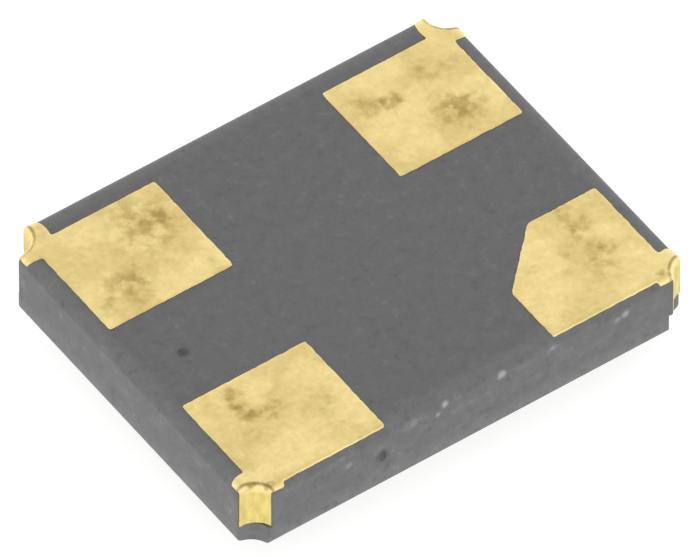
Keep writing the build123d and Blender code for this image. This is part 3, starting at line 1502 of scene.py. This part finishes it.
@dataclass
class TerminalSet:
    """The four plated terminals: pad, collar over the rim, and lining down the notch."""

    layout: SheetLayout
    thickness: float = 0.008
    sink: float = 0.01
    pad_length: float = 0.7
    pad_width: float = 0.64
    pad_inset: Pair = (0.078, 0.074)
    print_offset: Pair = (0.003, -0.053)
    marked_corner: float = 0.31
    marked_segments: int = 1
    pad_corner: float = 0.012
    pad_segments: int = 3
    collar_radius: float = 0.14
    collar_shift: float = 0.053
    setback: float = 0.004
    edge_cuts: int = 24
    edge_wobble: float = 0.002
    voxel: float = 0.005
    smoothing: int = 5
    smoothing_share: float = 0.5
    unevenness: float = 0.003
    uneven_patch: float = 0.09
    inward_only: float = 1.0
    smooth_angle: float = math.radians(60)

    @property
    def ceiling(self) -> float:
        """A level above the plating, where the solids that trim it end."""
        return self.layout.face_level + self.thickness + OVERRUN

    @property
    def pad_level(self) -> float:
        """A level below the rounded rim, where the prisms that trim the pads end."""
        return self.layout.face_level - self.layout.face_rim

    def skin(self) -> Piece:
        """Make the plating as if it covered the whole face, rim and notches.

        Returns:
            The plating.
        """
        floor = self.layout.floor_level
        outer = self.layout.sheet("plating_skin", self.thickness, floor)
        inner = self.layout.sheet("plating_core", -self.sink, floor - OVERRUN)
        Bench.combine(outer, inner, Cut.TAKE_AWAY)
        return outer

    def pad(self, corner: Corner) -> Piece:
        """Make the upright prism that trims a pad, with a slightly uneven outline.

        Args:
            corner: The terminal's corner.

        Returns:
            The prism.
        """
        size = Vector((self.pad_length, self.pad_width))
        reach = self.layout.half - Vector(self.pad_inset) - size / 2
        center = corner.sides * reach + Vector(self.print_offset)
        low = Vector((*(center - size / 2), self.pad_level))
        high = Vector((*(center + size / 2), self.ceiling))
        prism = Bench.block("pad", Extent(low, high))
        if corner is Corner.MARKED:
            Bench.round_edges(
                prism, lambda a, b: Bench.upright(a, b) and a.x < center.x and a.y > center.y,
                self.marked_corner, self.marked_segments)
        Bench.round_edges(prism, Bench.upright, self.pad_corner, self.pad_segments)
        long_edge = 2 * self.pad_corner
        with Bench.editing(prism):
            Bench.pick(prism, Part.EDGES,
                       lambda a, b: not Bench.upright(a, b) and (a - b).length > long_edge)
            bpy.ops.mesh.subdivide(number_cuts=self.edge_cuts)
            bpy.ops.mesh.select_all(action="SELECT")
            bpy.ops.transform.vertex_random(offset=self.edge_wobble, uniform=1.0,
                                            seed=corner.number)
        return prism

    def collar(self, corner: Corner) -> Piece:
        """Make the prism that trims a collar and its lining, down to the end of the floor sheet.

        Args:
            corner: The terminal's corner.

        Returns:
            The prism.
        """
        notch = self.layout.corner_point(corner, self.layout.notch_offset)
        center = notch - corner.sides * self.collar_shift
        floor = self.layout.floor_level - OVERRUN
        prism = Bench.rod("collar", center, self.collar_radius, (floor, self.ceiling),
                          self.layout.hole_sides)
        limit = self.layout.ceramic.grown(-self.setback)
        limit = limit.between(floor - OVERRUN, self.ceiling + OVERRUN)
        Bench.combine(prism, Bench.block("collar_limit", limit), Cut.KEEP_COMMON)
        return prism

    def build_one(self, corner: Corner, skin: Piece, clouds: bpy.types.Texture) -> Piece:
        """Make one terminal and hand it over.

        Args:
            corner: The terminal's corner.
            skin: The plating over the whole face, which the terminal is trimmed from.
            clouds: The pattern that makes the plating uneven.

        Returns:
            The terminal.
        """
        patches = []
        for trim in (self.pad(corner), self.collar(corner)):
            patches.append(Bench.twin(skin, f"plated_terminal_{corner.number}"))
            Bench.combine(patches[-1], trim, Cut.KEEP_COMMON)
        piece = Bench.join(patches)
        Bench.modify(piece, "REMESH", mode="VOXEL", voxel_size=self.voxel)
        Bench.modify(piece, "SMOOTH", factor=self.smoothing_share, iterations=self.smoothing)
        Bench.modify(piece, "DISPLACE", texture=clouds, texture_coords="LOCAL",
                     strength=self.unevenness, mid_level=self.inward_only)
        return hand_over(piece, self.smooth_angle, TERMINAL_GOLD, f"terminal_{corner.number}")

    def build(self) -> list[Piece]:
        """Make the four terminals and hand them over.

        Returns:
            The terminals.
        """
        clouds = bpy.data.textures.new("plating_clouds", "CLOUDS")
        clouds.noise_scale = self.uneven_patch
        skin = self.skin()
        pieces = [self.build_one(corner, skin, clouds) for corner in Corner]
        Bench.discard(skin)
        return pieces


@dataclass
class SealStack:
    """What closes the cavity: the brazed ring and the seam-welded lid."""

    ring: Extent = field(default_factory=lambda: Extent.of_node("seal_ring"))
    lid: Extent = field(default_factory=lambda: Extent.of_node("lid"))
    ring_corner: float = 0.22
    ring_width: float = 0.18
    ring_bore_corner: float = 0.15
    ring_edge: float = 0.006
    ring_edge_segments: int = 2
    ring_edge_angle: float = math.radians(60)
    lid_corner: float = 0.2
    lid_rim: float = 0.03
    weld_inset: float = 0.02
    weld_width: float = 0.09
    weld_depth: float = 0.004
    weld_slopes: Triple = (-1, 0, 1)
    corner_segments: int = 14
    rim_segments: int = 5
    smooth_angle: float = math.radians(35)

    def build_ring(self) -> Piece:
        """Make the ring and hand it over.

        Returns:
            The ring.
        """
        piece = Bench.plate("brazed_ring", self.ring, self.ring_corner, self.corner_segments)
        bore = self.ring.grown(-self.ring_width)
        bore = bore.between(self.ring.low.z - OVERRUN, self.ring.high.z + OVERRUN)
        tool = Bench.plate("ring_bore", bore, self.ring_bore_corner, self.corner_segments)
        Bench.combine(piece, tool, Cut.TAKE_AWAY)
        Bench.modify(piece, "BEVEL", width=self.ring_edge, segments=self.ring_edge_segments,
                     limit_method="ANGLE", angle_limit=self.ring_edge_angle)
        return hand_over(piece, self.smooth_angle, RING_METAL, "seal_ring")

    def build_lid(self) -> Piece:
        """Make the lid, with the track that seam welding leaves round its edge, and hand it over.

        Returns:
            The lid.
        """
        piece = Bench.plate("welded_lid", self.lid, self.lid_corner, self.corner_segments)
        lowest = self.lid.low.z + MERGE_GAP
        Bench.round_edges(piece, lambda a, b: max(a.z, b.z) < lowest, self.lid_rim,
                          self.rim_segments)
        with Bench.editing(piece):
            Bench.pick(piece, Part.FACES,
                       lambda place, normal: normal.z < -LEVEL_SHARE and place.z < lowest)
            bpy.ops.mesh.inset(thickness=self.weld_inset, depth=0)
            for slope in self.weld_slopes:
                bpy.ops.mesh.inset(thickness=self.weld_width / len(self.weld_slopes),
                                   depth=slope * self.weld_depth)
        return hand_over(piece, self.smooth_angle, LID_METAL, "lid")

    def build(self) -> list[Piece]:
        """Make the ring and the lid and hand them over."""
        return [self.build_ring(), self.build_lid()]


@dataclass
class CrystalCore:
    """The printed, brazed and mounted pieces that keep the frame's own meshes."""

    finishes: dict[str, Finish] = field(default_factory=lambda: dict(INNER_NODES))

    def build(self) -> list[Piece]:
        """Dress each of the frame's meshes in its finish.

        Returns:
            The frame's pieces.
        """
        pieces = []
        for node, finish in self.finishes.items():
            pieces.append(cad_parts[node])
            finish.dress(pieces[-1])
        return pieces


@dataclass
class Studio:
    """The white studio: pale floor, soft light from all round and the photograph's camera."""

    face_level: float
    azimuth: float = math.radians(35.276)
    elevation: float = math.radians(48.305)
    lens: float = 1300.0
    sensor: float = 36.0
    distance: float = 116.84
    nearest: float = 1.0
    farthest: float = 30000.0
    aim_right: float = 0.0182
    aim_down: float = 0.1209
    floor_radius: float = 3000.0
    floor_sides: int = 128
    floor_shade: Colour = (0.45, 0.45, 0.45, 1.0)
    floor_roughness: float = 1.0
    floor_specular: float = 0.0
    floor_glow: float = 0.72
    horizon_light: float = 1.45
    zenith_light: float = 0.75
    backdrop: float = 1.0

    def build_floor(self) -> None:
        """Lay the floor under the lid."""
        Bench.clear()
        bpy.ops.mesh.primitive_circle_add(vertices=self.floor_sides, fill_type="NGON",
                                          radius=self.floor_radius * MM)
        floor = Bench.named("studio_floor")
        material = bpy.data.materials.new("floor_white")
        material.use_nodes = True
        shader = material.node_tree.nodes["Principled BSDF"].inputs
        shader["Base Color"].default_value = self.floor_shade
        shader["Roughness"].default_value = self.floor_roughness
        shader["Specular IOR Level"].default_value = self.floor_specular
        shader["Emission Color"].default_value = WHITE
        shader["Emission Strength"].default_value = self.floor_glow
        floor.data.materials.append(material)

    def build_light(self) -> None:
        """Light the studio from all round, more from the horizon than from above."""
        world = bpy.data.worlds.new("studio_light")
        bpy.context.scene.world = world
        world.use_nodes = True
        board = NodeBoard(world.node_tree)
        source = board.add("ShaderNodeTexCoord")
        _, _, rise = board.axes(source.outputs["Generated"])
        height = board.math("MAXIMUM", rise, 0.0)
        light = board.span(height, self.horizon_light, self.zenith_light)
        seen = board.add("ShaderNodeLightPath").outputs["Is Camera Ray"]
        sky = world.node_tree.nodes["Background"].inputs
        sky["Color"].default_value = WHITE
        board.feed(sky["Strength"], board.mix(seen, light, self.backdrop, Blend.NUMBERS))
        bpy.context.scene.view_settings.view_transform = "Standard"

    def build_camera(self) -> None:
        """Set up the camera at the photograph's viewing angle."""
        right = Vector((math.cos(self.azimuth), -math.sin(self.azimuth), 0))
        away = Vector((math.sin(self.azimuth), math.cos(self.azimuth), 0))
        rise = Vector((0, 0, 1))
        up = away * math.sin(self.elevation) + rise * math.cos(self.elevation)
        forward = away * math.cos(self.elevation) - rise * math.sin(self.elevation)
        target = rise * self.face_level + right * self.aim_right - up * self.aim_down
        camera = bpy.data.cameras.new("photo_camera")
        camera.lens = self.lens
        camera.sensor_width = self.sensor
        camera.clip_start = self.nearest * MM
        camera.clip_end = self.farthest * MM
        holder = bpy.data.objects.new("photo_camera", camera)
        bpy.context.scene.collection.objects.link(holder)
        holder.location = (target - forward * self.distance) * MM
        holder.rotation_euler = forward.to_track_quat("-Z", "Y").to_euler()
        bpy.context.scene.camera = holder

    def build(self) -> None:
        """Build the floor, the light and the camera."""
        self.build_floor()
        self.build_light()
        self.build_camera()


def main() -> None:
    """Build the crystal and its studio, and report each piece."""
    logging.basicConfig(level=logging.INFO, format="%(name)s: %(message)s")
    layout = SheetLayout()
    for assembly in (CeramicBody(layout), TerminalSet(layout), SealStack(), CrystalCore()):
        for piece in assembly.build():
            faces = len(piece.data.polygons)
            log.info("%s: %d faces, in %s", piece.name, faces, piece.active_material.name)
    Studio(layout.face_level).build()


if __name__ == "__main__":
    main()
